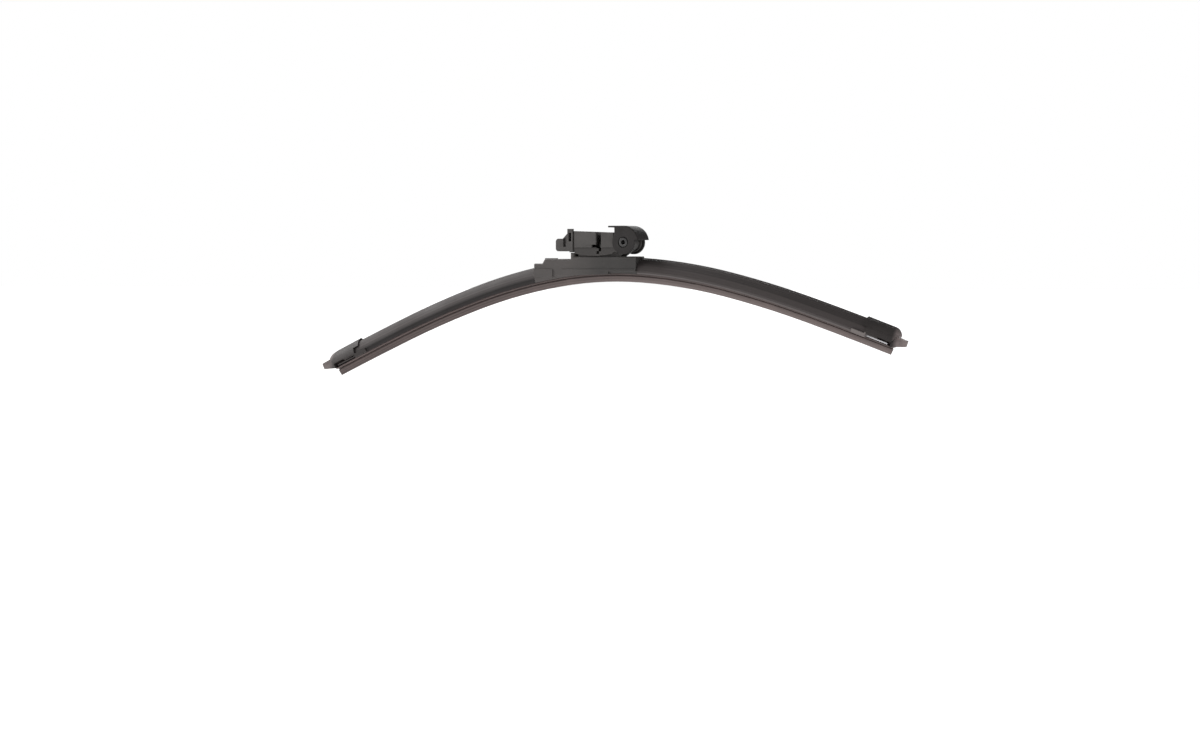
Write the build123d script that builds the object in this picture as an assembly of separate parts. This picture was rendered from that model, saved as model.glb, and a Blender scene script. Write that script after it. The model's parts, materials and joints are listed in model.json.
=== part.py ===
from build123d import *
import math
import os

# A flat wiper blade for a car. Two spring strips arch a wiping rubber, soft spoilers and end caps clip
# onto the strips, and a base at the middle carries the adapter for the wiper arm on a hollow rivet.
# The origin is on the rivet's axis in the blade's mid-plane, +X runs along the blade, +Y to its rear
# side and +Z away from the glass. Lengths are millimetres and angles are degrees.

# Arch of the free blade
RUBBER_LENGTH = 430.0
TIP_SLOPE = 22.67  # slope at both ends, from the slope at the blade's middle
BEND_FADE = 1.2  # the bend fades towards the ends by this power
ARC_COUNT = 7  # tangent arcs along the whole arch, an odd number
CENTRE_SETBACK = 20.8  # the blade's middle lies this far to the left of the pivot
PIVOT_HEIGHT = 20.0  # the pivot above the strips at the blade's middle
BLADE_TILT = 2.7  # the blade leans down to the left of the connector

# Clearances
FIT = 0.1  # between pieces that slide together
PIN_FIT = 0.05  # round the rivet, on the radius
SIDE_PLAY = 0.3  # between the lug and the adapter's ears
END_GAP = 0.2  # between pieces that meet end to end
STOP_GAP = 0.3  # between the adapter and its stop on the base

# Spring strips
STRIP_WIDTH = 4.2
STRIP_THICK = 0.9
STRIP_SETBACK = 3.0  # each strip ends this far inside the rubber

# Wiping rubber
WEB_WIDTH = 2.0
HEAD_WIDTH = 4.8
HEAD_HEIGHT = 1.3
HEAD_TAPER = 0.5
THROAT_WIDTH = 5.2
SHOULDER_WIDTH = 8.6
SHOULDER_THICK = 0.7
NECK_WIDTH = 1.2
NECK_HEIGHT = 0.9
WEDGE_WIDTH = 3.2
WEDGE_EDGE = 0.4
WEDGE_HEIGHT = 2.5
LIP_ROOT = 1.6
LIP_WIDTH = 0.7
LIP_LENGTH = 1.4

# Spoilers
SPOILER_HEIGHT = 9.85  # ridge above the strips' mid-plane
RIDGE_OFFSET = 3.0  # ridge to the rear of the mid-plane
RIDGE_WIDTH = 1.6
RIDGE_CROWN = 0.35
FRONT_BULGE = 1.8
REAR_HOLLOW = 0.9
CLAW_WALL = 1.0  # beside the strip
CLAW_THICK = 0.4  # below the strip
CLAW_TOP = 1.3  # the claws lean in below this height
CLAW_LEAN = 0.9
SPOILER_SETBACK = 18.7  # each spoiler ends this far inside the rubber

# End caps
CROWN_OVERLAP = 23.5  # the cap's crown, walls and skirts reach in this far from the rubber's end
WALL_OVERLAP = 19.5
SKIRT_OVERLAP = 28.5
CAP_WALL = 0.9
CROWN_RISE = 0.2  # more wall over the ridge
STEP_HEIGHT = 5.5  # ledge above the strips' mid-plane
STEP_DEPTH = 0.4
SKIRT_TOP = 1.3
CAP_LOW = -1.3
EAVE_HEIGHT = 0.8  # lower edge of the walls past the skirts
END_EAVE_HEIGHT = 1.9  # and near the cap's end
END_EAVE_LENGTH = 10.0
CAP_END = 1.5  # end of the cap's body past the rubber
CAP_UNDERCUT = 2.1  # the cap's end leans back by this at its foot
CAP_ROUND_LENGTH = 6.0
CAP_ROUND_BULGE = 1.2
NIB_LENGTH = 8.8
NIB_OFFSET = -3.0  # nib to the front of the mid-plane
NIB_ROOT_TOP = 6.5
NIB_ROOT_TOP_WIDTH = 3.0
NIB_ROOT_LOW_WIDTH = 7.5
NIB_TIP_WIDTH = 3.6
NIB_TIP_LOW = 2.1
NIB_TIP_TOP = 6.1
NIB_ROUND = 0.6

# Connector base
BASE_LEFT = 67.2
BASE_RIGHT = 8.3
BASE_HALF = 7.5
WALL_HALF = 6.9
SADDLE_HEIGHT = 10.6  # heights and depths are from the strips at the blade's middle
SADDLE_LEFT = 40.0
RAIL_HEIGHT = 9.0
BUMP_HEIGHT = 9.5
BUMP_LEFT = 59.3
BUMP_RIGHT = 50.7
BUMP_SLOPE = 2.0
BUMP_THICK = 2.4  # the bump stands along the front edge
TONGUE_HEIGHT = 5.9
FLANGE_HEIGHT = 2.1
FOOT_DEPTH = 3.4
NOTCH_LEFT = 53.2
NOTCH_RIGHT = 46.5
NOTCH_DEPTH = 2.0
SKIRT_DEPTH_LEFT = 2.3
SKIRT_DEPTH_RIGHT = 1.2
SHORT_SKIRT_LEFT = 11.7  # the right-hand skirt is shorter from here on
SHORT_SKIRT_HEIGHT = 0.5
STOP_LENGTH = 2.8
BASE_CHAMFER = 0.7
LUG_HALF = 5.0
LUG_RADIUS = 5.6
PLINTH_HEIGHT = 13.2  # rib between the stop and the lug, inside the adapter's box
LUG_ROOT_LEFT = 9.5
LUG_ROOT_RIGHT = 4.2
LUG_LEAN = 60.0  # where the lug's right flank meets its eye, below level

# Rivet
RIVET_RADIUS = 2.5
RIVET_BORE = 1.5
RIVET_HEAD_RADIUS = 3.1
RIVET_HEAD_THICK = 0.8
RIVET_HEAD_ROUND = 0.3
SINK_CLEARANCE = 0.6
SINK_DEPTH = 0.9

# Arm adapter
BOX_LEFT = 36.8
BOX_TOP_LEFT = 7.6
BOX_TOP_RIGHT = 6.5
BOX_SPLIT = -3.4
BOX_BOTTOM = -7.3
BOX_BELLY = 1.7
BOX_HALF = 7.4
BOX_STEP = 0.4
BOX_WALL = 1.6
EAR_THICK = 1.75
EAR_RADIUS = 6.6
COLLAR_LEFT = 42.0
COLLAR_GROOVE = 1.3
COLLAR_HALF = 7.4
COLLAR_TOP = 9.1
COLLAR_BOTTOM = -6.6
COLLAR_CUT = 1.6  # lower left corner
COLLAR_CUT_TOP = -5.9
HORN_THICK = 2.0  # the collar's front side rises above the box
GROOVE_DEPTH = 1.2
WINDOW_LEFT = 41.2
WINDOW_RIGHT = 39.1
WINDOW_TOP = 6.6
WINDOW_BOTTOM = 0.7
NOSE_LENGTH = 10.0
NOSE_HALF = 4.6
NOSE_TOP = 7.4
NOSE_SLOPE = 4.8  # length of the slope from the collar down to the shelf
NOSE_TIP = 2.6
NOSE_BOTTOM = -5.9
NOSE_ROUND = 2.0
POCKET_LEFT = 46.4
POCKET_RIGHT = 44.4
POCKET_TOP = 2.8
POCKET_BOTTOM = -2.8
POCKET_DEPTH = 1.5
SLOT_LEFT = 20.6
SLOT_RIGHT = 17.0
SLOT_BOTTOM = -4.0
FOOT_LEFT = 24.0
FOOT_TOP = -1.5
LOWER_SLOT_BOTTOM = -7.8
SLOT_JOG = 1.6  # the slot's lower end is set back to the left
JOG_TOP = -5.9
TAB_LEFT = 29.4
TAB_RISE = 0.6
TAB_SLIT = 0.8

# Pivot hood
HOOD_RADIUS = 11.0
HOOD_SKIN = 1.2
HOOD_EDGE = 1.5
HOOD_BACK = 6.4
HOOD_LIP_LEFT = 11.0
HOOD_LIP_THICK = 1.1
HOOD_EAR_RADIUS = 7.9
HOOD_EAR_THICK = 1.9
HOOD_ROUND = 0.8

# Sizes that follow from those above
HALF_LENGTH = RUBBER_LENGTH / 2
SPINE_TOP = -PIVOT_HEIGHT
SLOT_HALF = STRIP_THICK / 2 + FIT
STRIP_EDGE = WEB_WIDTH / 2 + FIT + STRIP_WIDTH
HEAD_TOP = SLOT_HALF + HEAD_HEIGHT
SPOILER_FOOT = STRIP_EDGE + FIT + CLAW_WALL
CLAW_LOW = -SLOT_HALF - CLAW_THICK
SHOULDER_TOP = CLAW_LOW - FIT
RUBBER_DEPTH = SHOULDER_THICK + NECK_HEIGHT + WEDGE_HEIGHT + LIP_LENGTH - SHOULDER_TOP
CAP_TOP = SPOILER_HEIGHT + FIT + CAP_WALL + CROWN_RISE
CAP_HALF = SPOILER_FOOT + FIT + CAP_WALL + STEP_DEPTH
EAR_INNER = LUG_HALF + SIDE_PLAY
EAR_OUTER = EAR_INNER + EAR_THICK
HOOD_INNER = EAR_OUTER + FIT
HOOD_HALF = HOOD_INNER + HOOD_EAR_THICK
BOX_RIGHT = HOOD_EAR_RADIUS + END_GAP
PIN_BORE = RIVET_RADIUS + PIN_FIT
CUT = BASE_LEFT  # reach of cutting tools that pass right through


# Arch

def slope_at(station):
    """Slope of the bent spine at a distance along it from the blade's middle, tilt apart."""
    share = min(abs(station) / HALF_LENGTH, 1.0)
    return math.copysign(TIP_SLOPE * (1 - (1 - share) ** (BEND_FADE + 1)), station)


def arch_arcs():
    """The arch as tangent arcs: start station, end station, start slope, end slope and start point."""
    step = RUBBER_LENGTH / ARC_COUNT
    knots = [-HALF_LENGTH + index * step for index in range(ARC_COUNT + 1)]
    slopes = [math.radians(slope_at(knot) - BLADE_TILT) for knot in knots]
    radii = [step / (slopes[i + 1] - slopes[i]) for i in range(ARC_COUNT)]
    across = [radii[i] * (math.sin(slopes[i + 1]) - math.sin(slopes[i])) for i in range(ARC_COUNT)]
    rise = [radii[i] * (math.cos(slopes[i + 1]) - math.cos(slopes[i])) for i in range(ARC_COUNT)]
    middle = ARC_COUNT // 2
    lean = math.radians(-BLADE_TILT)
    x = -CENTRE_SETBACK - sum(across[:middle])
    x -= radii[middle] * (math.sin(lean) - math.sin(slopes[middle]))
    z = SPINE_TOP - sum(rise[:middle])
    z -= radii[middle] * (math.cos(lean) - math.cos(slopes[middle]))
    arcs = []
    for i in range(ARC_COUNT):
        arcs.append((knots[i], knots[i + 1], slopes[i], slopes[i + 1], x, z))
        x += across[i]
        z += rise[i]
    return arcs


ARCS = arch_arcs()


def spine_place(station):
    """Point and slope of the spine, straight on beyond both ends."""
    inside = max(-HALF_LENGTH, min(HALF_LENGTH, station))
    for start, end, slope_a, slope_b, x, z in ARCS:
        if inside <= end + FIT:
            break
    radius = (end - start) / (slope_b - slope_a)
    slope = slope_a + (inside - start) / radius
    x += radius * (math.sin(slope) - math.sin(slope_a)) + (station - inside) * math.cos(slope)
    z += radius * (math.cos(slope) - math.cos(slope_a)) - (station - inside) * math.sin(slope)
    return x, z, slope


def section_plane(station):
    """Plane across the blade: local x to the rear, local y away from the glass."""
    x, z, slope = spine_place(station)
    return Plane((x, 0, z), x_dir=(0, 1, 0), z_dir=(math.cos(slope), 0, -math.sin(slope)))


def side_plane(station):
    """Plane along the blade: local x outwards to the right, local y away from the glass."""
    x, z, slope = spine_place(station)
    return Plane((x, 0, z), x_dir=(math.cos(slope), 0, -math.sin(slope)), z_dir=(0, -1, 0))


def station_at(x):
    """Station of the spine at a given x, by halving."""
    low, high = -HALF_LENGTH, HALF_LENGTH
    while high - low > FIT / 1000:
        middle = (low + high) / 2
        if spine_place(middle)[0] < x:
            low = middle
        else:
            high = middle
    return (low + high) / 2


def swept(section, start, end):
    """A cross-section carried along the spine from one station to another."""
    knots = [arc[0] for arc in ARCS] + [HALF_LENGTH]
    stops = [start] + [knot for knot in knots if start < knot < end] + [end]
    pieces = []
    for low, high in zip(stops, stops[1:]):
        plane = section_plane(low)
        turn = spine_place(high)[2] - spine_place(low)[2]
        if abs(turn) < 1e-9:
            pieces.append(extrude(plane * section, high - low))
        else:
            centre = plane.origin - plane.y_dir * ((high - low) / turn)
            pieces.append(revolve(plane * section, Axis(centre, (0, 1, 0)), math.degrees(turn)))
    return pieces[0].fuse(*pieces[1:]) if len(pieces) > 1 else pieces[0]


# Outlines

def both_sides(half):
    """A half outline on the rear side, closed by its mirror image on the front side."""
    return half + [(-y, n) for y, n in reversed(half)]


def bar(left, right, low, high):
    """A rectangle between two sides and two heights."""
    return Pos((left + right) / 2, (low + high) / 2) * Rectangle(right - left, high - low)


def upright(outline, half):
    """An outline in the blade's mid-plane, as thick on both sides."""
    return extrude(Plane.XZ * outline, half, both=True)


def wall_pair(outline, inner, outer):
    """An outline in the blade's mid-plane, as two walls on both sides."""
    return upright(outline, outer) - upright(outline, inner)


def core_section():
    """Room for the strips and the rubber inside the pieces that clip round them."""
    slot = Rectangle(2 * (STRIP_EDGE + FIT), 2 * SLOT_HALF)
    return slot + rubber_room()


def rubber_room():
    """Room for the rubber alone."""
    head = bar(-HEAD_WIDTH / 2 - FIT, HEAD_WIDTH / 2 + FIT, -SLOT_HALF, HEAD_TOP + FIT)
    throat = bar(-THROAT_WIDTH / 2 - FIT, THROAT_WIDTH / 2 + FIT, CLAW_LOW, -SLOT_HALF)
    shoulder_half = SHOULDER_WIDTH / 2 + FIT
    return head + throat + bar(-shoulder_half, shoulder_half, -RUBBER_DEPTH - FIT, CLAW_LOW)


def rubber_section():
    shoulder_low = SHOULDER_TOP - SHOULDER_THICK
    wedge_top = shoulder_low - NECK_HEIGHT
    wedge_low = wedge_top - WEDGE_HEIGHT
    half = [
        (HEAD_WIDTH / 2 - HEAD_TAPER, HEAD_TOP),
        (HEAD_WIDTH / 2, SLOT_HALF),
        (WEB_WIDTH / 2, SLOT_HALF),
        (WEB_WIDTH / 2, -SLOT_HALF),
        (THROAT_WIDTH / 2, -SLOT_HALF),
        (THROAT_WIDTH / 2, SHOULDER_TOP),
        (SHOULDER_WIDTH / 2, SHOULDER_TOP),
        (SHOULDER_WIDTH / 2, shoulder_low),
        (NECK_WIDTH / 2, shoulder_low),
        (NECK_WIDTH / 2, wedge_top),
        (WEDGE_WIDTH / 2, wedge_top),
        (WEDGE_WIDTH / 2, wedge_top - WEDGE_EDGE),
        (LIP_ROOT / 2, wedge_low),
        (LIP_WIDTH / 2, -RUBBER_DEPTH),
    ]
    return make_face(Polyline(*both_sides(half), close=True))


def claws():
    """The claws' outside below the walls, from the rear foot round to the front foot."""
    return both_sides([(SPOILER_FOOT, CLAW_TOP), (SPOILER_FOOT - CLAW_LEAN, CLAW_LOW)])


def spoiler_outline():
    """The spoiler's outside: bulged front wall, crowned ridge, hollow rear wall and two claws."""
    ridge_front = (RIDGE_OFFSET - RIDGE_WIDTH / 2, SPOILER_HEIGHT - RIDGE_CROWN)
    ridge_rear = (RIDGE_OFFSET + RIDGE_WIDTH / 2, SPOILER_HEIGHT - RIDGE_CROWN)
    foot = claws()
    return make_face(
        [
            SagittaArc(foot[-1], ridge_front, FRONT_BULGE),
            SagittaArc(ridge_front, ridge_rear, RIDGE_CROWN),
            SagittaArc(ridge_rear, foot[0], -REAR_HOLLOW),
            Polyline(*foot),
        ]
    )


def cap_outline():
    """The cap's outside: it follows the spoiler and is thicker below a ledge."""
    upper = offset(spoiler_outline(), FIT + CAP_WALL)
    upper += Pos(0, CROWN_RISE) * upper
    lower = offset(spoiler_outline(), FIT + CAP_WALL + STEP_DEPTH)
    return upper + (lower & bar(-CUT, CUT, CAP_LOW, STEP_HEIGHT))


# Blade

def wiping_rubber():
    return swept(rubber_section(), -HALF_LENGTH, HALF_LENGTH)


def spring_strip(side):
    middle = side * (STRIP_EDGE - STRIP_WIDTH / 2)
    section = Pos(middle, 0) * Rectangle(STRIP_WIDTH, STRIP_THICK)
    end = HALF_LENGTH - STRIP_SETBACK
    return swept(section, -end, end)


def spoiler(side):
    """A spoiler from the base's end to inside the cap; side is -1 at the left."""
    section = spoiler_outline() - core_section()
    outer_end = HALF_LENGTH - SPOILER_SETBACK
    base_face = BASE_RIGHT + END_GAP if side > 0 else -BASE_LEFT - END_GAP
    inner_end = station_at(base_face - side * SPOILER_HEIGHT)
    stations = sorted((side * outer_end, inner_end))
    trim = Pos(base_face - side * CUT / 2, 0, SPINE_TOP) * Box(CUT, CUT, CUT)
    return swept(section, *stations) - trim


def cap_side_view():
    """The cap from the side: stepped mouth at the left, eaves below, rounded end at the right."""
    round_start = (CAP_END - CAP_ROUND_LENGTH, CAP_TOP)
    end_top = (CAP_END, NIB_ROOT_TOP)
    skirt_end = END_GAP - SPOILER_SETBACK
    return make_face(
        [
            SagittaArc(round_start, end_top, CAP_ROUND_BULGE),
            Polyline(
                end_top,
                (CAP_END - CAP_UNDERCUT, END_EAVE_HEIGHT),
                (-END_EAVE_LENGTH, END_EAVE_HEIGHT),
                (-END_EAVE_LENGTH, EAVE_HEIGHT),
                (skirt_end, EAVE_HEIGHT),
                (skirt_end, CAP_LOW),
                (-SKIRT_OVERLAP, CAP_LOW),
                (-SKIRT_OVERLAP, SKIRT_TOP),
                (-WALL_OVERLAP, SKIRT_TOP),
                (-WALL_OVERLAP, STEP_HEIGHT),
                (-CROWN_OVERLAP, STEP_HEIGHT),
                (-CROWN_OVERLAP, CAP_TOP),
                round_start,
            ),
        ]
    )


def cap_nib():
    """The tapered nib on the cap's end, with rounded corners at its tip."""
    root = Polyline(
        (NIB_OFFSET - NIB_ROOT_LOW_WIDTH / 2, CAP_LOW),
        (NIB_OFFSET - NIB_ROOT_TOP_WIDTH / 2, NIB_ROOT_TOP),
        (NIB_OFFSET + NIB_ROOT_TOP_WIDTH / 2, NIB_ROOT_TOP),
        (NIB_OFFSET + NIB_ROOT_LOW_WIDTH / 2, CAP_LOW),
        close=True,
    )
    tip = bar(NIB_OFFSET - NIB_TIP_WIDTH / 2, NIB_OFFSET + NIB_TIP_WIDTH / 2, NIB_TIP_LOW, NIB_TIP_TOP)
    root_plane = section_plane(HALF_LENGTH + CAP_END - CAP_UNDERCUT)
    nib = loft([root_plane * make_face(root), section_plane(HALF_LENGTH + NIB_LENGTH) * tip])
    return fillet(nib.faces().sort_by(Axis.X)[-1].edges(), NIB_ROUND)


def end_cap():
    """The right-hand cap: a shell over the spoiler's end, closed by a rounded end with a nib."""
    inner = HALF_LENGTH - SKIRT_OVERLAP - END_GAP
    body = extrude(section_plane(HALF_LENGTH + CAP_END) * cap_outline(), -SKIRT_OVERLAP - CAP_END)
    body &= extrude(side_plane(HALF_LENGTH) * cap_side_view(), CUT, both=True)
    body += cap_nib()
    body -= swept(offset(spoiler_outline(), FIT), inner, HALF_LENGTH - SPOILER_SETBACK + END_GAP)
    body -= swept(core_section(), inner, HALF_LENGTH - STRIP_SETBACK + END_GAP)
    body -= swept(rubber_room(), inner, HALF_LENGTH + END_GAP)
    return body


def mirrored(shape):
    """The same piece at the blade's other end."""
    return mirror(shape, section_plane(0))


# Connector

def base_walls():
    """The base's body: tongue, rail, stop and saddle above, foot and skirts below."""
    saddle = SPINE_TOP + SADDLE_HEIGHT
    rail = SPINE_TOP + RAIL_HEIGHT
    tongue = SPINE_TOP + TONGUE_HEIGHT
    stop = COLLAR_BOTTOM - STOP_GAP
    foot = SPINE_TOP - FOOT_DEPTH
    notch = SPINE_TOP - NOTCH_DEPTH
    short_skirt = SPINE_TOP + SHORT_SKIRT_HEIGHT
    outline = Polyline(
        (-BASE_LEFT, foot),
        (-BASE_LEFT, tongue),
        (-BUMP_LEFT - BUMP_SLOPE, tongue),
        (-BUMP_LEFT, rail),
        (-SADDLE_LEFT, rail),
        (-SADDLE_LEFT, stop),
        (-SADDLE_LEFT + STOP_LENGTH, stop),
        (-SADDLE_LEFT + STOP_LENGTH, saddle),
        (BASE_RIGHT, saddle),
        (BASE_RIGHT, short_skirt),
        (-SHORT_SKIRT_LEFT, short_skirt),
        (-SHORT_SKIRT_LEFT, SPINE_TOP - SKIRT_DEPTH_RIGHT),
        (-NOTCH_RIGHT, SPINE_TOP - SKIRT_DEPTH_LEFT),
        (-NOTCH_RIGHT, notch),
        (-NOTCH_LEFT, notch),
        (-NOTCH_LEFT, foot),
        close=True,
    )
    walls = upright(make_face(outline), WALL_HALF)
    rims = [edge for edge in walls.edges() if abs(edge.center().Y) > WALL_HALF - FIT]
    rims = [rim for rim in rims if rim.center().Z > tongue - FIT]
    return chamfer(rims, BASE_CHAMFER)


def base_bump():
    """The bump on the rail, along the base's front edge."""
    low = SPINE_TOP + RAIL_HEIGHT - FIT
    outline = bar(-BUMP_LEFT, -BUMP_RIGHT, low, SPINE_TOP + BUMP_HEIGHT)
    return extrude(Plane.XZ.offset(WALL_HALF - BASE_CHAMFER - BUMP_THICK) * outline, BUMP_THICK)


def base_plinth():
    """The rib that stands in the adapter's box, from beside the stop to the lug."""
    low = SPINE_TOP + SADDLE_HEIGHT - FIT
    left = -BOX_LEFT + BOX_WALL + SIDE_PLAY
    return upright(bar(left, -LUG_RADIUS, low, SPINE_TOP + PLINTH_HEIGHT), LUG_HALF)


def base_flanges():
    """Flanges that stand proud of the base's walls along the foot and the two skirts."""
    flange = SPINE_TOP + FLANGE_HEIGHT
    foot = bar(-BASE_LEFT, -NOTCH_LEFT, SPINE_TOP - FOOT_DEPTH, flange)
    skirt = make_face(
        Polyline(
            (-NOTCH_RIGHT, SPINE_TOP - SKIRT_DEPTH_LEFT),
            (-NOTCH_RIGHT, flange),
            (-SHORT_SKIRT_LEFT, flange),
            (-SHORT_SKIRT_LEFT, SPINE_TOP - SKIRT_DEPTH_RIGHT),
            close=True,
        )
    )
    short_skirt = bar(-SHORT_SKIRT_LEFT, BASE_RIGHT, SPINE_TOP + SHORT_SKIRT_HEIGHT, flange)
    return upright(foot + skirt + short_skirt, BASE_HALF)


def grip_section():
    """The base's grip on the strips: claws below, and a roof over the rubber's head."""
    roof = bar(-SPOILER_FOOT, SPOILER_FOOT, CLAW_TOP, HEAD_TOP + CLAW_WALL)
    return make_face(Polyline(*claws(), close=True)) + roof


def connector_base():
    """The base with its lug, gripping the strips along the arch."""
    root = SPINE_TOP + SADDLE_HEIGHT - FIT
    lean = math.radians(-LUG_LEAN)
    neck = Polyline(
        (-LUG_RADIUS, 0),
        (-LUG_ROOT_LEFT, root),
        (-LUG_ROOT_RIGHT, root),
        (LUG_RADIUS * math.cos(lean), LUG_RADIUS * math.sin(lean)),
        close=True,
    )
    lug = Circle(LUG_RADIUS) + make_face(neck) - Circle(PIN_BORE)
    left = station_at(-BASE_LEFT) - SPOILER_HEIGHT
    right = station_at(BASE_RIGHT) + SPOILER_HEIGHT
    grip = swept(grip_section(), left, right)
    grip &= upright(bar(-BASE_LEFT, BASE_RIGHT, 2 * SPINE_TOP, 0), BASE_HALF)
    body = base_walls() + base_bump() + base_plinth() + base_flanges()
    base = body + grip + upright(lug, LUG_HALF)
    return base - swept(core_section(), left, right)


def pivot_rivet():
    """A tube with a head sunk in each ear of the hood."""
    seat = HOOD_HALF - SINK_DEPTH + PIN_FIT
    shank = upright(Circle(RIVET_RADIUS), seat)
    head_plane = Plane((0, -seat, 0), x_dir=(1, 0, 0), z_dir=(0, -1, 0))
    head = extrude(head_plane * Circle(RIVET_HEAD_RADIUS), RIVET_HEAD_THICK)
    head = fillet(head.edges().sort_by(Axis.Y)[0], RIVET_HEAD_ROUND)
    rivet = shank + head + mirror(head, Plane.XZ)
    return rivet - upright(Circle(RIVET_BORE), CUT)


def adapter_box():
    """The hollow box that the arm's channel slides over, open below."""
    upper = make_face(
        Polyline(
            (-BOX_LEFT, BOX_SPLIT),
            (-BOX_LEFT, BOX_TOP_LEFT),
            (-BOX_RIGHT, BOX_TOP_RIGHT),
            (-BOX_RIGHT, BOX_SPLIT),
            close=True,
        )
    )
    belly_left = (-BOX_LEFT, BOX_BOTTOM)
    belly_right = (-BOX_RIGHT, BOX_BOTTOM)
    lower = make_face(
        [
            SagittaArc(belly_left, belly_right, -BOX_BELLY),
            Polyline(belly_right, (-BOX_RIGHT, BOX_SPLIT), (-BOX_LEFT, BOX_SPLIT), belly_left),
        ]
    )
    return upright(upper, BOX_HALF) + upright(lower, BOX_HALF - BOX_STEP)


def snap_tabs():
    """The two raised pads of the snap tabs, ramped from the left."""
    ramp = make_face(
        Polyline(
            (-TAB_LEFT, BOX_HALF),
            (-SLOT_LEFT, BOX_HALF + TAB_RISE),
            (-SLOT_LEFT, BOX_HALF - BOX_WALL),
            (-TAB_LEFT, BOX_HALF - BOX_WALL),
            close=True,
        )
    )
    pad = Pos(0, 0, FOOT_TOP) * extrude(ramp, BOX_TOP_RIGHT - FOOT_TOP)
    return pad + mirror(pad, Plane.XZ)


def tab_cuts():
    """Slots that free each snap tab from the box: beside it, below it and along the top."""
    side_slots = bar(-SLOT_LEFT, -SLOT_RIGHT, SLOT_BOTTOM, COLLAR_TOP)
    side_slots += bar(-FOOT_LEFT, -SLOT_RIGHT, BOX_SPLIT, FOOT_TOP)
    side_slots += bar(-SLOT_LEFT + SLOT_JOG, -SLOT_RIGHT, JOG_TOP - FIT, SLOT_BOTTOM)
    side_slots += bar(-SLOT_LEFT, -SLOT_RIGHT - SLOT_JOG, LOWER_SLOT_BOTTOM, JOG_TOP)
    cuts = wall_pair(side_slots, BOX_HALF - BOX_WALL, COLLAR_HALF)
    slit_inner = BOX_HALF - BOX_WALL - TAB_SLIT
    slit = bar(-TAB_LEFT, -SLOT_RIGHT, BOX_TOP_RIGHT - BOX_WALL, COLLAR_TOP)
    return cuts + wall_pair(slit, slit_inner, BOX_HALF - BOX_WALL)


def adapter_collar():
    """The collar at the box's left end, its groove, its horn, its windows and the nose in front of it."""
    collar_right = -BOX_LEFT - COLLAR_GROOVE
    plate = bar(-COLLAR_LEFT, collar_right, COLLAR_BOTTOM, BOX_TOP_LEFT)
    plate -= bar(-COLLAR_LEFT, COLLAR_CUT - COLLAR_LEFT, COLLAR_BOTTOM, COLLAR_CUT_TOP)
    plate -= bar(-WINDOW_LEFT, -WINDOW_RIGHT, WINDOW_BOTTOM, WINDOW_TOP)
    neck = bar(collar_right, -BOX_LEFT, BOX_BOTTOM + GROOVE_DEPTH, BOX_TOP_LEFT - GROOVE_DEPTH)
    nose_left = -COLLAR_LEFT - NOSE_LENGTH
    nose = make_face(
        Polyline(
            (-COLLAR_LEFT, NOSE_BOTTOM),
            (-COLLAR_LEFT, NOSE_TOP),
            (-COLLAR_LEFT - NOSE_SLOPE, NOSE_TIP),
            (nose_left, NOSE_TIP),
            (nose_left, NOSE_BOTTOM),
            close=True,
        )
    )
    nose = fillet(nose.vertices().sort_by(Axis.X)[:2], NOSE_ROUND)
    pocket = bar(-POCKET_LEFT, -POCKET_RIGHT, POCKET_BOTTOM, POCKET_TOP)
    horn = bar(-COLLAR_LEFT, collar_right, BOX_TOP_RIGHT, COLLAR_TOP)
    collar = upright(plate, COLLAR_HALF) + upright(neck, BOX_HALF - GROOVE_DEPTH)
    collar += extrude(Plane.XZ.offset(COLLAR_HALF - HORN_THICK) * horn, HORN_THICK)
    collar += upright(nose, NOSE_HALF)
    return collar - wall_pair(pocket, NOSE_HALF - POCKET_DEPTH, NOSE_HALF)


def arm_adapter():
    box = adapter_box() + snap_tabs()
    cavity = bar(-BOX_LEFT + BOX_WALL, 0, BOX_BOTTOM - CUT, BOX_TOP_RIGHT - BOX_WALL)
    box -= upright(cavity, BOX_HALF - BOX_WALL)
    box -= tab_cuts()
    arms = bar(-BOX_RIGHT - BOX_WALL, 0, -EAR_RADIUS, EAR_RADIUS) + Circle(EAR_RADIUS)
    box += wall_pair(arms - Circle(PIN_BORE), EAR_INNER, EAR_OUTER)
    return box + adapter_collar()


def pivot_hood():
    """A cover rounded about the pivot, with a thin lip over the box and an ear on each side."""
    skin_reach = bar(0, HOOD_RADIUS, HOOD_EDGE, HOOD_RADIUS)
    dome = Circle(HOOD_RADIUS) & skin_reach
    skin = dome - Circle(HOOD_RADIUS - HOOD_SKIN)
    skin += bar(-HOOD_LIP_LEFT, 0, HOOD_RADIUS - HOOD_LIP_THICK, HOOD_RADIUS)
    side = dome + bar(-HOOD_BACK, 0, HOOD_EDGE, HOOD_RADIUS) + Circle(HOOD_EAR_RADIUS)
    hood = upright(skin, HOOD_HALF) + wall_pair(side - Circle(PIN_BORE), HOOD_INNER, HOOD_HALF)
    rims = [edge for edge in hood.edges() if abs(abs(edge.center().Y) - HOOD_HALF) < FIT / 10]
    reach = math.hypot(HOOD_EAR_RADIUS, FIT)
    rims = [rim for rim in rims if rim.center().Z > HOOD_EDGE + FIT and rim.length > reach]
    hood = fillet(rims, HOOD_ROUND)
    sink = upright(Circle(RIVET_HEAD_RADIUS + SINK_CLEARANCE), HOOD_HALF + FIT)
    return hood - (sink - upright(Circle(CUT), HOOD_HALF - SINK_DEPTH))


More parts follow.
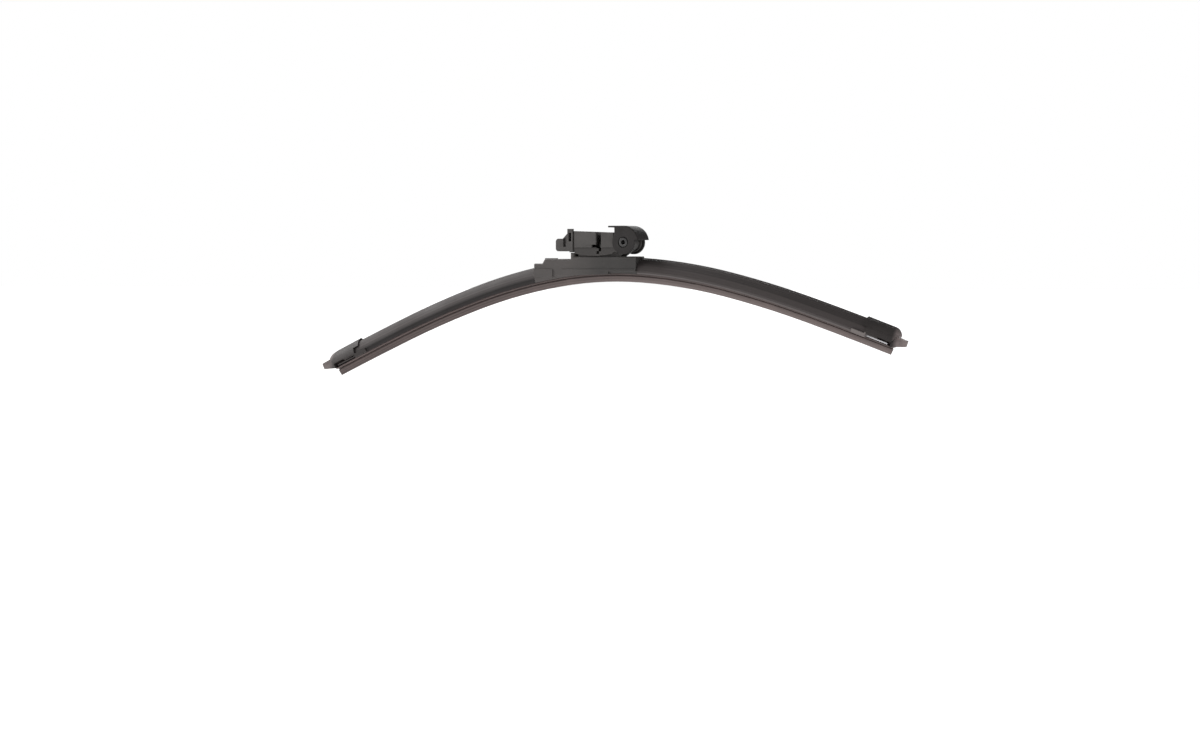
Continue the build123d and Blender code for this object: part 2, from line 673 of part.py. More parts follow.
def main():
    right_cap = end_cap()
    nodes = {
        "wiping_rubber": wiping_rubber(),
        "spring_strip_front": spring_strip(-1),
        "spring_strip_rear": spring_strip(1),
        "spoiler_left": spoiler(-1),
        "spoiler_right": spoiler(1),
        "end_cap_left": mirrored(right_cap),
        "end_cap_right": right_cap,
        "connector_base": connector_base(),
        "pivot_rivet": pivot_rivet(),
        "arm_adapter": arm_adapter(),
        "pivot_hood": pivot_hood(),
    }
    os.makedirs("parts", exist_ok=True)
    for name, shape in nodes.items():
        export_step(shape, f"parts/{name}.step")


main()
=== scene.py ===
import json
import math

import bpy
import numpy as np
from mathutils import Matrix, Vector


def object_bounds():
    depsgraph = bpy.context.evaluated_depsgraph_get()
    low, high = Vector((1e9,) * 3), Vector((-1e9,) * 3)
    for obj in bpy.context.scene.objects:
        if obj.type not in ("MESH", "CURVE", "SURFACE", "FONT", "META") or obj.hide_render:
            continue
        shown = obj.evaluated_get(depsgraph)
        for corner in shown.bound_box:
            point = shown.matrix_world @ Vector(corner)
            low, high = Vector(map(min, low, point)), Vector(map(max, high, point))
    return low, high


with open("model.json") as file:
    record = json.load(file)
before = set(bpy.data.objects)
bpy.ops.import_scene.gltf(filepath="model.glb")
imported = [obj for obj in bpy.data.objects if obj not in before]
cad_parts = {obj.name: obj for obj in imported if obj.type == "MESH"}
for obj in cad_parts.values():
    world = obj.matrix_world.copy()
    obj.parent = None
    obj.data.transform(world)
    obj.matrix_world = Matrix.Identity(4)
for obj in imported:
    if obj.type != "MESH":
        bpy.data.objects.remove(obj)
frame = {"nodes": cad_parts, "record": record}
CAD_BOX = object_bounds()
NODES = frame["nodes"]

# A flat wiper blade in black rubber and moulded plastic. Lengths are metres, colours are linear.
MM = 0.001
WHITE = (1.0, 1.0, 1.0)

# Camera of the photograph
CAMERA_PLACE = Vector((0.84943, -1.82161, -0.01754))
CAMERA_AIM = Vector((-0.01767, -0.00744, -0.08352))
SENSOR_WIDTH = 36.0
LENS = 90.39
CLIP_START = 0.01
CLIP_END = 200.0

# Floor and surround
FLOOR_GAP = 1 * MM
FLOOR_SIZE = 60.0
FLOOR_COLOUR = (0.45, 0.45, 0.45)
FLOOR_ROUGHNESS = 0.9
FLOOR_GLOSS = 0.1
FLOOR_GLOW = 1.0
AMBIENT = 0.2
BACKDROP = 1.0

# Round panel that gives the main light
KEY_PLACE = Vector((-0.60, 0.05, 0.50))
KEY_DIAMETER = 0.50
KEY_POWER = 8.3

# Soft suns: name, direction that the light comes from, spread in degrees, strength
SUNS = [
    ("front_fill", (-0.86, -0.42, 0.25), 30.0, 1.9),
    ("rim_right", (0.85, -0.50, 0.10), 30.0, 0.5),
    ("rim_top", (-0.25, 0.87, 0.42), 20.0, 1.2),
]

# Widest rounding of each node's edges, which short edges beside them can narrow
EDGE_ROUNDS = {
    "wiping_rubber": 0.10 * MM,
    "spring_strip_front": 0.06 * MM,
    "spring_strip_rear": 0.06 * MM,
    "spoiler_left": 0.15 * MM,
    "spoiler_right": 0.15 * MM,
    "end_cap_left": 0.22 * MM,
    "end_cap_right": 0.22 * MM,
    "connector_base": 0.20 * MM,
    "pivot_rivet": 0.12 * MM,
    "arm_adapter": 0.20 * MM,
    "pivot_hood": 0.18 * MM,
}
ROUND_SEGMENTS = 2
EDGE_ANGLE = math.radians(32)
WELD_DISTANCE = 0.002 * MM
FLAT_ANGLE = math.radians(0.4)

# Order of the curve that follows the springs' arch
ARCH_ORDER = 6

# Noise in the finishes, with scales per metre and the range that holds most of its values
NOISE_ROUGHNESS = 0.55
NOISE_MIDDLE = (0.3, 0.7)

# Gloss of steel and paint
PLAIN_GLOSS = 0.5

# Rubbed edges, in patches: from the cosine between a face's normal and a rounded one
RUB_SAMPLES = 4
RUB_COSINES = (0.995, 0.90)
RUB_SCALE = 420.0
RUB_NOISE = (0.42, 0.62)
RUB_SHARES = (0.25, 1.0)

# Painted shade in seams and inner corners, from ambient occlusion
CREVICE_SAMPLES = 6
CREVICE_REACH = 0.6 * MM
CREVICE_OPENNESS = (0.10, 0.70)
CREVICE_SHADE_COLOUR = (0.017, 0.0153, 0.0149)

# Moulded plastic: flow clouds, pale flecks, dull patches, pits from the mould and rubbed edges
CLOUD_SCALE = 70.0
CLOUD_TINTS = (0.82, 1.18)
CLOUD_BUMP = 0.08
CLOUD_DEPTH = 0.3 * MM
FLECK_SCALE = 2600.0
FLECK_NOISE = (0.55, 0.75)
FLECK_SHARE = 0.35
FLECK_TINT = 1.7
DULL_SCALE = 900.0
DULL_CHANGE = 0.07
PIT_SCALE = 3800.0
PIT_DEPTH = 0.03 * MM
WORN_REACH = 0.35 * MM
WORN_TINT = 2.6
WORN_POLISH = 0.12

# Extruded rubber: drawn lines, wider bands, a dusty bloom and a soft grain; scales along and across
LINE_SCALES = (14.0, 1900.0)
LINE_NOISE = (0.5, 0.72)
LINE_TINT = 1.8
LINE_DULLING = (-0.08, 0.06)
LINE_BUMP = 0.35
LINE_DEPTH = 0.02 * MM
BAND_SCALES = (2.0, 850.0)
BAND_NOISE = (0.35, 0.65)
BAND_TINTS = (0.62, 1.38)
BLOOM_SCALE = 55.0
BLOOM_NOISE = (0.48, 0.75)
BLOOM_TINT = 2.2
BLOOM_DULLING = (-0.04, 0.06)
GRAIN_SCALE = 3000.0
GRAIN_BUMP = 0.12
GRAIN_DEPTH = 0.02 * MM

# Spring steel: brushing along the strip and patches of temper
BRUSH_SCALES = (10.0, 3500.0)
BRUSH_ROUGHNESS = (0.24, 0.42)
BRUSH_BUMP = 0.2
BRUSH_DEPTH = 0.01 * MM
TEMPER_SCALE = 40.0
TEMPER_NOISE = (0.35, 0.7)
STEEL_DARK = (0.47, 0.464, 0.475)
STEEL_LIGHT = (0.63, 0.619, 0.630)

# Coated rivet: orange peel in the coat and bare spots on the rims
PEEL_SCALE = 1500.0
PEEL_ROUGHNESS = (0.34, 0.48)
PEEL_BUMP = 0.15
PEEL_DEPTH = 0.02 * MM
COAT_DARK = (0.022, 0.021, 0.021)
COAT_LIGHT = (0.034, 0.032, 0.032)
RIM_REACH = 0.25 * MM
RIM_SHARE = 0.5
RIM_COLOUR = (0.16, 0.155, 0.15)

# Painted light on the caps' nibs, stronger on the right nib
TIP_LENGTH = 6.5 * MM
TIP_FADE = 3.0 * MM
NIB_PATCH_SCALE = 300.0
NIB_PATCH_NOISE = (0.3, 0.6)
NIB_PATCH_SHARES = (0.6, 1.0)
NIB_LIGHT_LEFT_COLOUR = (0.125, 0.105, 0.100)
NIB_LIGHT_RIGHT_COLOUR = (0.195, 0.160, 0.155)

# Painted highlight on the hook by which the right cap holds the spring
HOOK_LEFT = 150 * MM
HOOK_RIGHT = 171 * MM
HOOK_TOP = 2.2 * MM
HOOK_FADE = 0.3 * MM
HOOK_HIGHLIGHT_COLOUR = (0.130, 0.1140, 0.1100)

# Where the painted shade over the left half fades out into the lit right half
SHADE_FADE_LEFT = -70 * MM
SHADE_FADE_RIGHT = 20 * MM
LEFT_LIGHT_SHARE = 0.05

# Claws along the spoilers' feet, paler: partly their own compound, partly painted light from below on
# the right half
CLAW_TOP = 0.2 * MM
CLAW_FADE = 0.4 * MM
CLAW_TONE_AND_LIGHT = (0.088, 0.0775, 0.0757)

# Painted shade on the spoilers' feet, over the left half
FOOT_TOP = 2.7 * MM
FOOT_FADE = 1.4 * MM
FOOT_SHADE_COLOUR = (0.009, 0.0076, 0.0074)
FOOT_SHARE = 0.85

# Painted light from below on the spoilers' lower flanks, weaker on the left half
FLANK_TOP = 5.6 * MM
FLANK_FADE = 1.2 * MM
FLANK_LIGHT_COLOUR = (0.055, 0.0460, 0.0447)
FLANK_SHARE = 0.6
FLANK_LEFT_SHARE = 0.5

# Painted light on the wiping lip, paler towards its edge
LIP_TOP = -3.2 * MM
LIP_FADE = 3.3 * MM
LIP_LIGHT_COLOUR = (0.135, 0.108, 0.103)

# Painted light on the open left end of the connector's base
SHOULDER_RIGHT = -18 * MM
SHOULDER_FADE = 24 * MM
SHOULDER_LIGHT_COLOUR = (0.075, 0.0670, 0.0642)
SHOULDER_SHARE = 0.8

# Step between the upper and the lower half of the adapter's box, with painted shade over the lower half
# and a painted shade line under the step
SEAM_TOP = -3.4 * MM
SEAM_HEIGHT = 0.6 * MM
SEAM_LEFT = -36.8 * MM
SEAM_RIGHT = -10.5 * MM
SEAM_SHARE = 0.6
LOWER_SHADE_COLOUR = (0.036, 0.0325, 0.0310)
LOWER_SHARE = 0.8

# Painted shade on the left ends of the springs
END_SHADE_RIGHT = -165 * MM
END_SHADE_FADE = 20 * MM
END_SHADE_COLOUR = (0.080, 0.073, 0.071)

# Sockets of a Mix node that mixes colours
MIX_SHARE = 0
MIX_FIRST = 6
MIX_SECOND = 7
MIX_RESULT = 2


# Node helpers

def connect(tree, source, target):
    tree.links.new(source, target)


def is_output(value):
    return isinstance(value, bpy.types.NodeSocket)


def put(tree, kind, inputs=(), **settings):
    """A new node with its settings and inputs; an input is a plain value or another node's output."""
    node = tree.nodes.new(kind)
    for name, value in settings.items():
        setattr(node, name, value)
    for key, value in dict(inputs).items():
        if is_output(value):
            connect(tree, value, node.inputs[key])
        else:
            node.inputs[key].default_value = value
    return node


def math_node(tree, operation, *values):
    return put(tree, "ShaderNodeMath", enumerate(values), operation=operation).outputs[0]


def spread(tree, value, source, target):
    """Carries one range of a value over to another."""
    inputs = {
        "Value": value,
        "From Min": source[0],
        "From Max": source[1],
        "To Min": target[0],
        "To Max": target[1],
    }
    return put(tree, "ShaderNodeMapRange", inputs).outputs["Result"]


def share_below(tree, value, top, fade):
    """0 above a height and 1 below it, over a fade."""
    return spread(tree, value, (top, top - fade), (0.0, 1.0))


def share_between(tree, value, low, high):
    """1 between two limits and 0 outside them."""
    return math_node(tree, "COMPARE", value, (low + high) / 2, (high - low) / 2)


def noise(tree, vector, scale, detail):
    inputs = {"Vector": vector, "Scale": scale, "Detail": detail, "Roughness": NOISE_ROUGHNESS}
    return put(tree, "ShaderNodeTexNoise", inputs).outputs["Fac"]


def streaks(tree, vector, scales, detail):
    """Noise drawn out along the blade, by its scales along and across."""
    along, across = scales
    stretched = put(tree, "ShaderNodeMapping", {"Vector": vector, "Scale": (along, across, across)})
    return noise(tree, stretched.outputs["Vector"], scale=1.0, detail=detail)


def opaque(colour):
    """A colour with its alpha; another node's output stays as it is."""
    return colour if is_output(colour) else (*colour, 1.0)


def shades(tree, value, limits, colours):
    """A colour ramp between two colours, at two limits of a value."""
    ramp = put(tree, "ShaderNodeValToRGB", {"Fac": value})
    for element, limit, colour in zip(ramp.color_ramp.elements, limits, colours):
        element.position = limit
        element.color = opaque(colour)
    return ramp.outputs["Color"]


def mixed(tree, share, first, second):
    """Two colours mixed by a share from 0 to 1."""
    inputs = {MIX_SHARE: share, MIX_FIRST: opaque(first), MIX_SECOND: opaque(second)}
    return put(tree, "ShaderNodeMix", inputs, data_type="RGBA").outputs[MIX_RESULT]


def covered(tree, colour, layer, *shares):
    """The colour under a layer that covers the product of some shares of it."""
    share = shares[0]
    for other in shares[1:]:
        share = math_node(tree, "MULTIPLY", share, other)
    return mixed(tree, share, colour, layer)


def tint(colour, factor):
    return tuple(channel * factor for channel in colour)


def bumped(tree, height, strength, distance, before=None):
    """The normal of a relief, on top of the normal of the relief before it."""
    inputs = {"Height": height, "Strength": strength, "Distance": distance}
    if before is not None:
        inputs["Normal"] = before
    return put(tree, "ShaderNodeBump", inputs).outputs["Normal"]


# Surface coordinates

def arch_curve():
    """Height of the springs' mid-plane as a polynomial of x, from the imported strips."""
    points = np.array([vertex.co for vertex in NODES["spring_strip_front"].data.vertices])
    return np.polyfit(points[:, 0], points[:, 2], ARCH_ORDER)


ARCH = arch_curve()


def polynomial(tree, coefficients, x):
    """The value of a polynomial at x, with its highest power first."""
    value = float(coefficients[0])
    for coefficient in coefficients[1:]:
        value = math_node(tree, "MULTIPLY_ADD", value, x, float(coefficient))
    return value


def axes(tree, vector):
    return put(tree, "ShaderNodeSeparateXYZ", {"Vector": vector}).outputs


def object_place(tree):
    return put(tree, "ShaderNodeTexCoord").outputs["Object"]


def along_blade(tree):
    """Object coordinates with the arch taken out, so that a streak along x follows the blade."""
    axis = axes(tree, object_place(tree))
    slope = polynomial(tree, np.polyder(ARCH), axis["X"])
    flat = math_node(tree, "COSINE", math_node(tree, "ARCTANGENT", slope))
    rise = math_node(tree, "SUBTRACT", axis["Z"], polynomial(tree, ARCH, axis["X"]))
    height = math_node(tree, "MULTIPLY", rise, flat)
    joined = put(tree, "ShaderNodeCombineXYZ", {"X": axis["X"], "Y": axis["Y"], "Z": height})
    return joined.outputs["Vector"]


# Wear, and painted light and shade

def edge_share(tree, place, reach):
    """1 on worn edges and 0 on faces, broken up by a fine noise."""
    rounded = put(tree, "ShaderNodeBevel", {"Radius": reach}, samples=RUB_SAMPLES).outputs["Normal"]
    normal = put(tree, "ShaderNodeNewGeometry").outputs["Normal"]
    agree = put(tree, "ShaderNodeVectorMath", {0: rounded, 1: normal}, operation="DOT_PRODUCT")
    edge = spread(tree, agree.outputs["Value"], RUB_COSINES, (0.0, 1.0))
    patchiness = spread(tree, noise(tree, place, RUB_SCALE, detail=4.0), RUB_NOISE, RUB_SHARES)
    return math_node(tree, "MULTIPLY", edge, patchiness)


def painted_crevice_shade(tree, colour):
    """The colour, darker with painted shade in seams and inner corners, where little light reaches."""
    corners = put(
        tree,
        "ShaderNodeAmbientOcclusion",
        {"Distance": CREVICE_REACH},
        samples=CREVICE_SAMPLES,
    )
    darkness = spread(tree, corners.outputs["AO"], CREVICE_OPENNESS, (1.0, 0.0))
    return mixed(tree, darkness, colour, CREVICE_SHADE_COLOUR)


def lit_right_share(tree, x, least):
    """1 on the blade's right half, down to a least share on the left half, which lies in painted shade.
    """
    return spread(tree, x, (SHADE_FADE_LEFT, SHADE_FADE_RIGHT), (least, 1.0))


def lit_nib_tips(tree, place, colour):
    """The nibs at the blade's two ends, paler with painted light, in patches."""
    left, right = CAD_BOX[0].x, CAD_BOX[1].x
    middle = (left + right) / 2
    nib_root = (right - left) / 2 - TIP_LENGTH
    x = axes(tree, place)["X"]
    reach = math_node(tree, "ABSOLUTE", math_node(tree, "SUBTRACT", x, middle))
    tip = spread(tree, reach, (nib_root - TIP_FADE, nib_root), (0.0, 1.0))
    patchiness = spread(tree, noise(tree, place, NIB_PATCH_SCALE, detail=4.0), NIB_PATCH_NOISE, NIB_PATCH_SHARES)
    on_right = math_node(tree, "GREATER_THAN", x, middle)
    nib_light = mixed(tree, on_right, NIB_LIGHT_LEFT_COLOUR, NIB_LIGHT_RIGHT_COLOUR)
    return covered(tree, colour, nib_light, tip, patchiness)


def painted_hook_highlight(tree, colour):
    """The hook by which the right cap holds the spring, with a painted highlight."""
    axis = axes(tree, along_blade(tree))
    span = share_between(tree, axis["X"], HOOK_LEFT, HOOK_RIGHT)
    low = share_below(tree, axis["Z"], HOOK_TOP, HOOK_FADE)
    return covered(tree, colour, HOOK_HIGHLIGHT_COLOUR, span, low)


def lit_cap_ends(tree, place, colour):
    """A cap's hook and nib, with a painted highlight and painted light."""
    return lit_nib_tips(tree, place, painted_hook_highlight(tree, colour))


def lit_shoulder(tree, place, colour):
    """The connector's base, paler with painted light towards its open left end."""
    limits = (SHOULDER_RIGHT - SHOULDER_FADE, SHOULDER_RIGHT)
    lit_share = spread(tree, axes(tree, place)["X"], limits, (SHOULDER_SHARE, 0.0))
    return mixed(tree, lit_share, colour, SHOULDER_LIGHT_COLOUR)


def shaded_lower_box(tree, place, colour):
    """The adapter's box, with painted shade below its step and a darker painted shade line under the
    step.
    """
    axis = axes(tree, place)
    depth = math_node(tree, "SUBTRACT", SEAM_TOP, axis["Z"])
    lower = math_node(tree, "GREATER_THAN", depth, 0.0)
    inside = math_node(tree, "GREATER_THAN", axis["X"], SEAM_LEFT)
    shaded = covered(tree, colour, LOWER_SHADE_COLOUR, lower, inside, LOWER_SHARE)
    band = share_between(tree, depth, 0.0, SEAM_HEIGHT)
    span = share_between(tree, axis["X"], SEAM_LEFT, SEAM_RIGHT)
    return covered(tree, shaded, CREVICE_SHADE_COLOUR, band, span, SEAM_SHARE)


def lit_and_shaded_foot(tree, place, colour):
    """The spoiler's lower flank with painted light from below, weaker on the left, painted shade along
    the foot of the left half, and paler claws, partly their own compound and partly painted light.
    """
    axis = axes(tree, place)
    flank = share_below(tree, axis["Z"], FLANK_TOP, FLANK_FADE)
    lit_share = lit_right_share(tree, axis["X"], FLANK_LEFT_SHARE)
    lit_flank = covered(tree, colour, FLANK_LIGHT_COLOUR, flank, lit_share, FLANK_SHARE)
    foot = share_below(tree, axis["Z"], FOOT_TOP, FOOT_FADE)
    shaded_left = math_node(tree, "SUBTRACT", 1.0, lit_right_share(tree, axis["X"], 0.0))
    shaded_foot = covered(tree, lit_flank, FOOT_SHADE_COLOUR, foot, shaded_left, FOOT_SHARE)
    claws = share_below(tree, axis["Z"], CLAW_TOP, CLAW_FADE)
    return covered(tree, shaded_foot, CLAW_TONE_AND_LIGHT, claws, lit_right_share(tree, axis["X"], LEFT_LIGHT_SHARE))


def lit_lip(tree, place, colour):
    """The wiping lip with painted light, paler towards its edge and on the right half, the left half
    being in painted shade.
    """
    axis = axes(tree, place)
    lip = share_below(tree, axis["Z"], LIP_TOP, LIP_FADE)
    return covered(tree, colour, LIP_LIGHT_COLOUR, lip, lit_right_share(tree, axis["X"], LEFT_LIGHT_SHARE))


def shaded_spring_end(tree, place, colour):
    """The spring's left end, darkened with painted shade."""
    limits = (END_SHADE_RIGHT - END_SHADE_FADE, END_SHADE_RIGHT)
    end_shade = spread(tree, axes(tree, place)["X"], limits, (1.0, 0.0))
    return mixed(tree, end_shade, colour, END_SHADE_COLOUR)


# Materials

def blank_material(name, gloss=PLAIN_GLOSS):
    material = bpy.data.materials.new(name)
    material.use_nodes = True
    tree = material.node_tree
    tree.nodes.clear()
    shader = put(tree, "ShaderNodeBsdfPrincipled", {"Specular IOR Level": gloss})
    output = put(tree, "ShaderNodeOutputMaterial")
    connect(tree, shader.outputs["BSDF"], output.inputs["Surface"])
    return material, tree, shader


def finish_shader(tree, shader, colour, roughness, normal):
    connect(tree, colour, shader.inputs["Base Color"])
    connect(tree, roughness, shader.inputs["Roughness"])
    connect(tree, normal, shader.inputs["Normal"])


def moulded_plastic(name, colour, rough, gloss, grain, worn, marks_and_light=None):
    """Spark-eroded mould grain, faint flow clouds and rubbed edges, over any painted light and shade of
    the piece.
    """
    material, tree, shader = blank_material(name, gloss)
    place = object_place(tree)
    clouds = noise(tree, place, CLOUD_SCALE, detail=4.0)
    body = shades(tree, clouds, NOISE_MIDDLE, [tint(colour, factor) for factor in CLOUD_TINTS])
    flecks = spread(tree, noise(tree, place, FLECK_SCALE, detail=2.0), FLECK_NOISE, (0.0, FLECK_SHARE))
    plain = mixed(tree, flecks, body, tint(colour, FLECK_TINT))
    marked_and_lit = marks_and_light(tree, place, plain) if marks_and_light else plain
    edge = edge_share(tree, place, WORN_REACH)
    painted = covered(tree, marked_and_lit, tint(colour, WORN_TINT), edge, worn)
    patches = noise(tree, place, DULL_SCALE, detail=3.0)
    dull = spread(tree, patches, NOISE_MIDDLE, (rough - DULL_CHANGE, rough + DULL_CHANGE))
    roughness = math_node(tree, "SUBTRACT", dull, math_node(tree, "MULTIPLY", edge, WORN_POLISH))
    pits = bumped(tree, noise(tree, place, PIT_SCALE, detail=2.0), grain, PIT_DEPTH)
    relief = bumped(tree, clouds, CLOUD_BUMP, CLOUD_DEPTH, before=pits)
    # Painted shade in seams and corners goes over the colour here.
    finish_shader(tree, shader, painted_crevice_shade(tree, painted), roughness, relief)
    return material


def extruded_rubber(name, colour, rough, gloss, streak, bloom, marks_and_light):
    """Rubber drawn through a die: fine lines along the blade, a dusty bloom and a soft grain."""
    material, tree, shader = blank_material(name, gloss)
    place = along_blade(tree)
    lines = streaks(tree, place, LINE_SCALES, detail=3.0)
    bands = streaks(tree, place, BAND_SCALES, detail=2.0)
    clouds = noise(tree, place, BLOOM_SCALE, detail=5.0)
    body = shades(tree, bands, BAND_NOISE, [tint(colour, factor) for factor in BAND_TINTS])
    lined = mixed(tree, spread(tree, lines, LINE_NOISE, (0.0, streak)), body, tint(colour, LINE_TINT))
    lit_flank = mixed(tree, spread(tree, clouds, BLOOM_NOISE, (0.0, bloom)), lined, tint(colour, BLOOM_TINT))
    marked_and_lit = marks_and_light(tree, place, lit_flank)
    wear = spread(tree, lines, NOISE_MIDDLE, [rough + change for change in LINE_DULLING])
    roughness = math_node(tree, "ADD", wear, spread(tree, clouds, NOISE_MIDDLE, BLOOM_DULLING))
    drawn = bumped(tree, lines, LINE_BUMP, LINE_DEPTH)
    grain = noise(tree, place, GRAIN_SCALE, detail=3.0)
    relief = bumped(tree, grain, GRAIN_BUMP, GRAIN_DEPTH, before=drawn)
    # Painted shade in seams and corners goes over the colour here.
    finish_shader(tree, shader, painted_crevice_shade(tree, marked_and_lit), roughness, relief)
    return material


def spring_steel(name):
    """Rolled strip with brushing along its length and a little blue temper."""
    material, tree, shader = blank_material(name)
    place = along_blade(tree)
    brushing = streaks(tree, place, BRUSH_SCALES, detail=4.0)
    temper = noise(tree, place, TEMPER_SCALE, detail=4.0)
    bare = shades(tree, temper, TEMPER_NOISE, [STEEL_DARK, STEEL_LIGHT])
    roughness = spread(tree, brushing, NOISE_MIDDLE, BRUSH_ROUGHNESS)
    relief = bumped(tree, brushing, BRUSH_BUMP, BRUSH_DEPTH)
    finish_shader(tree, shader, shaded_spring_end(tree, place, bare), roughness, relief)
    shader.inputs["Metallic"].default_value = 1.0
    return material


def coated_rivet(name):
    """Black-coated steel, rubbed bright in a few spots on its rims."""
    material, tree, shader = blank_material(name)
    place = object_place(tree)
    orange_peel = noise(tree, place, PEEL_SCALE, detail=2.0)
    coat = shades(tree, orange_peel, NOISE_MIDDLE, [COAT_DARK, COAT_LIGHT])
    colour = covered(tree, coat, RIM_COLOUR, edge_share(tree, place, RIM_REACH), RIM_SHARE)
    roughness = spread(tree, orange_peel, NOISE_MIDDLE, PEEL_ROUGHNESS)
    finish_shader(tree, shader, colour, roughness, bumped(tree, orange_peel, PEEL_BUMP, PEEL_DEPTH))
    return material


def make_materials():
    # Most finishes here carry painted light and shade over their own colour.
    return {
        "rubber": extruded_rubber(
            "wiping_rubber_finish",
            colour=(0.092, 0.0705, 0.0665),
            rough=0.66,
            gloss=0.35,
            streak=0.18,
            bloom=0.22,
            marks_and_light=lit_lip,
        ),
        "spring": spring_steel("spring_steel_finish"),
        "spoiler": extruded_rubber(
            "spoiler_finish",
            colour=(0.0335, 0.0280, 0.0272),
            rough=0.74,
            gloss=0.28,
            streak=0.45,
            bloom=0.10,
            marks_and_light=lit_and_shaded_foot,
        ),
        "cap": moulded_plastic(
            "cap_finish",
            colour=(0.032, 0.0276, 0.0266),
            rough=0.64,
            gloss=0.24,
            grain=0.16,
            worn=0.25,
            marks_and_light=lit_cap_ends,
        ),
        "base": moulded_plastic(
            "base_finish",
            colour=(0.038, 0.0350, 0.0333),
            rough=0.64,
            gloss=0.30,
            grain=0.30,
            worn=0.30,
            marks_and_light=lit_shoulder,
        ),
        "rivet": coated_rivet("rivet_finish"),
        "adapter": moulded_plastic(
            "adapter_finish",
            colour=(0.060, 0.0555, 0.0530),
            rough=0.62,
            gloss=0.28,
            grain=0.28,
            worn=0.35,
            marks_and_light=shaded_lower_box,
        ),
        "hood": moulded_plastic(
            "hood_finish",
            colour=(0.0235, 0.0212, 0.0207),
            rough=0.72,
            gloss=0.20,
            grain=0.24,
            worn=0.30,
        ),
    }


# Pieces

def smooth_group():
    """Smooth shading with sharp edges kept, as a small node group."""
    group = bpy.data.node_groups.new("smooth_by_angle", "GeometryNodeTree")
    group.interface.new_socket("Geometry", in_out="INPUT", socket_type="NodeSocketGeometry")
    group.interface.new_socket("Geometry", in_out="OUTPUT", socket_type="NodeSocketGeometry")
    start = put(group, "NodeGroupInput").outputs[0]
    smooth = put(
        group,
        "GeometryNodeSetShadeSmooth",
        {"Geometry": start, "Shade Smooth": True},
        domain="FACE",
    )
    angle = put(group, "GeometryNodeInputMeshEdgeAngle").outputs["Unsigned Angle"]
    sharp = put(group, "FunctionNodeCompare", {"A": angle, "B": EDGE_ANGLE}, operation="GREATER_THAN")
    edges = put(
        group,
        "GeometryNodeSetShadeSmooth",
        {"Geometry": smooth.outputs[0], "Selection": sharp.outputs[0], "Shade Smooth": False},
        domain="EDGE",
    )
    end = put(group, "NodeGroupOutput")
    connect(group, edges.outputs[0], end.inputs[0])
    return group


def round_edges(piece, radius, group):
    """Joins the facets of flat faces, shades round faces smoothly and rounds the sharp edges."""
    weld = piece.modifiers.new("join_facets", "WELD")
    weld.merge_threshold = WELD_DISTANCE
    flat = piece.modifiers.new("flat_faces", "DECIMATE")
    flat.decimate_type = "DISSOLVE"
    flat.angle_limit = FLAT_ANGLE
    smooth = piece.modifiers.new("smooth_faces", "NODES")
    smooth.node_group = group
    bevel = piece.modifiers.new("round_edges", "BEVEL")
    bevel.width = radius
    bevel.segments = ROUND_SEGMENTS
    bevel.limit_method = "ANGLE"
    bevel.angle_limit = EDGE_ANGLE
    bevel.harden_normals = True
    bevel.miter_outer = "MITER_ARC"


def dress_nodes():
    materials = make_materials()
    slots = {part["node"]: part["material_slot"] for part in frame["record"]["subparts"]}
    group = smooth_group()
    for name, piece in NODES.items():
        piece.data.materials.clear()
        piece.data.materials.append(materials[slots[name]])
        round_edges(piece, EDGE_ROUNDS[name], group)


# Studio

def floor_level():
    """Just clear of the circle that the blade's far end swings through about the rivet."""
    far_end = CAD_BOX[0]
    return -math.hypot(far_end.x, far_end.z) - FLOOR_GAP


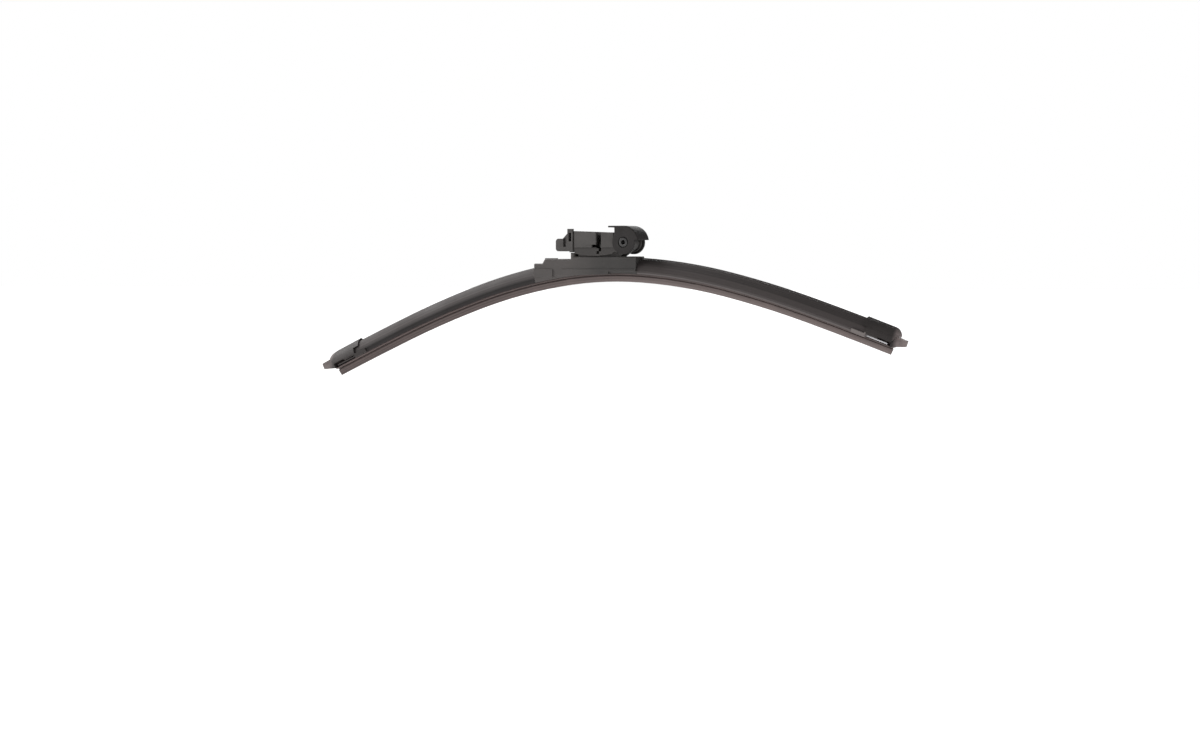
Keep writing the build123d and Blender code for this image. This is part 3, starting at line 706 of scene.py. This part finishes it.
def make_floor():
    low = floor_level()
    half = FLOOR_SIZE / 2
    mesh = bpy.data.meshes.new("floor")
    corners = [(-half, -half, low), (half, -half, low), (half, half, low), (-half, half, low)]
    mesh.from_pydata(corners, [], [(0, 1, 2, 3)])
    floor = bpy.data.objects.new("floor", mesh)
    bpy.context.scene.collection.objects.link(floor)
    material, _, shader = blank_material("floor_finish", FLOOR_GLOSS)
    shader.inputs["Base Color"].default_value = opaque(FLOOR_COLOUR)
    shader.inputs["Roughness"].default_value = FLOOR_ROUGHNESS
    shader.inputs["Emission Color"].default_value = opaque(WHITE)
    shader.inputs["Emission Strength"].default_value = FLOOR_GLOW
    mesh.materials.append(material)


def make_world():
    """A white surround that the camera sees as a bare backdrop and the object sees as soft fill."""
    world = bpy.data.worlds.new("studio")
    world.use_nodes = True
    bpy.context.scene.world = world
    tree = world.node_tree
    tree.nodes.clear()
    seen = put(tree, "ShaderNodeLightPath").outputs["Is Camera Ray"]
    strength = spread(tree, seen, (0.0, 1.0), (AMBIENT, BACKDROP))
    surround = put(tree, "ShaderNodeBackground", {"Color": opaque(WHITE), "Strength": strength})
    output = put(tree, "ShaderNodeOutputWorld")
    connect(tree, surround.outputs[0], output.inputs["Surface"])


def aim(thing, place, target):
    thing.location = place
    thing.rotation_euler = (Vector(target) - Vector(place)).to_track_quat("-Z", "Y").to_euler()


def add_lamp(light, place, target):
    lamp = bpy.data.objects.new(light.name, light)
    bpy.context.scene.collection.objects.link(lamp)
    aim(lamp, place, target)


def make_lights():
    key = bpy.data.lights.new("key_panel", "AREA")
    key.shape = "DISK"
    key.size = KEY_DIAMETER
    key.energy = KEY_POWER
    add_lamp(key, KEY_PLACE, (CAD_BOX[0] + CAD_BOX[1]) / 2)
    for name, source, width, strength in SUNS:
        sun = bpy.data.lights.new(name, "SUN")
        sun.angle = math.radians(width)
        sun.energy = strength
        add_lamp(sun, source, (0.0, 0.0, 0.0))


def make_camera():
    data = bpy.data.cameras.new("photo_camera")
    data.sensor_fit = "HORIZONTAL"
    data.sensor_width = SENSOR_WIDTH
    data.lens = LENS
    data.clip_start = CLIP_START
    data.clip_end = CLIP_END
    camera = bpy.data.objects.new("photo_camera", data)
    bpy.context.scene.collection.objects.link(camera)
    aim(camera, CAMERA_PLACE, CAMERA_AIM)
    bpy.context.scene.camera = camera


bpy.context.scene.view_settings.view_transform = "Standard"
dress_nodes()
make_floor()
make_world()
make_lights()
make_camera()
